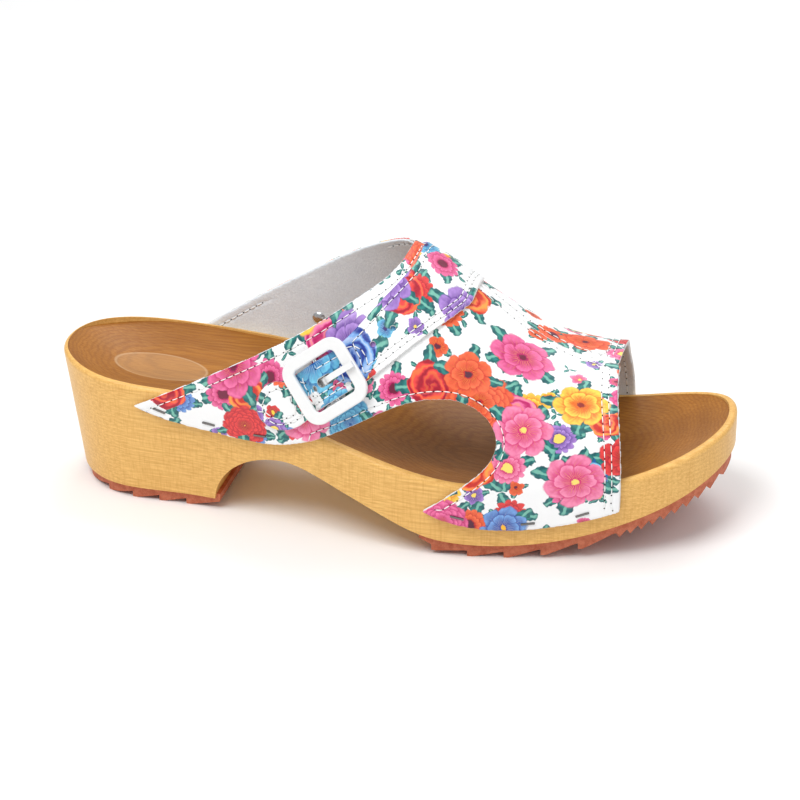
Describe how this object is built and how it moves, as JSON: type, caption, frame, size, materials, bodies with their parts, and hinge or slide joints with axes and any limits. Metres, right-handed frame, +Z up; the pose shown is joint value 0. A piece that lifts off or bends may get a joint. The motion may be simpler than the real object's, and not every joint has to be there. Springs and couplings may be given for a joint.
{
  "type": "open-toe wooden clog",
  "caption": "Right open-toe wooden clog with a block heel, printed leather upper, instep strap with a centre-bar buckle and ribbed rubber treads.",
  "frame": {"origin": "on the ground under the middle of the shoe", "axes": "+X towards the toe, +Y towards the inner (big toe) side, +Z up"},
  "size_m": [0.2489, 0.0951, 0.0983],
  "materials": {
    "varnished_wood": "satin",
    "tread_rubber": "matte",
    "printed_leather": "satin",
    "grey_suede": "matte",
    "white_leather": "satin",
    "white_lacquer": "gloss",
    "bright_metal": "satin"
  },
  "bodies": {
    "shoe": {"wooden_sole": "varnished_wood", "heel_tread": "tread_rubber", "forefoot_tread": "tread_rubber", "lateral_panel": "printed_leather", "lateral_lining": "grey_suede", "medial_panel": "printed_leather", "medial_lining": "grey_suede", "instep_strap": "printed_leather", "buckle_chape": "white_leather", "chape_rivet": "bright_metal", "strap_rivet": "bright_metal", "lateral_staples": "bright_metal", "medial_staples": "bright_metal"},
    "buckle": {"buckle_frame": "white_lacquer", "buckle_bar": "white_lacquer"},
    "prong": {"buckle_prong": "white_lacquer"}
  },
  "joints": [
    {"name": "buckle_tilt", "type": "hinge", "parent": "shoe", "child": "buckle", "pos_m": [-0.01361, -0.04124, 0.06318], "axis": [0.5886, -0.2694, -0.7623], "range_deg": [-3, 3]},
    {"name": "prong_swing", "type": "hinge", "parent": "buckle", "child": "prong", "pos_m": [-0.01361, -0.04124, 0.06318], "axis": [0.5886, -0.2694, -0.7623], "range_deg": [0, 45]}
  ]
}
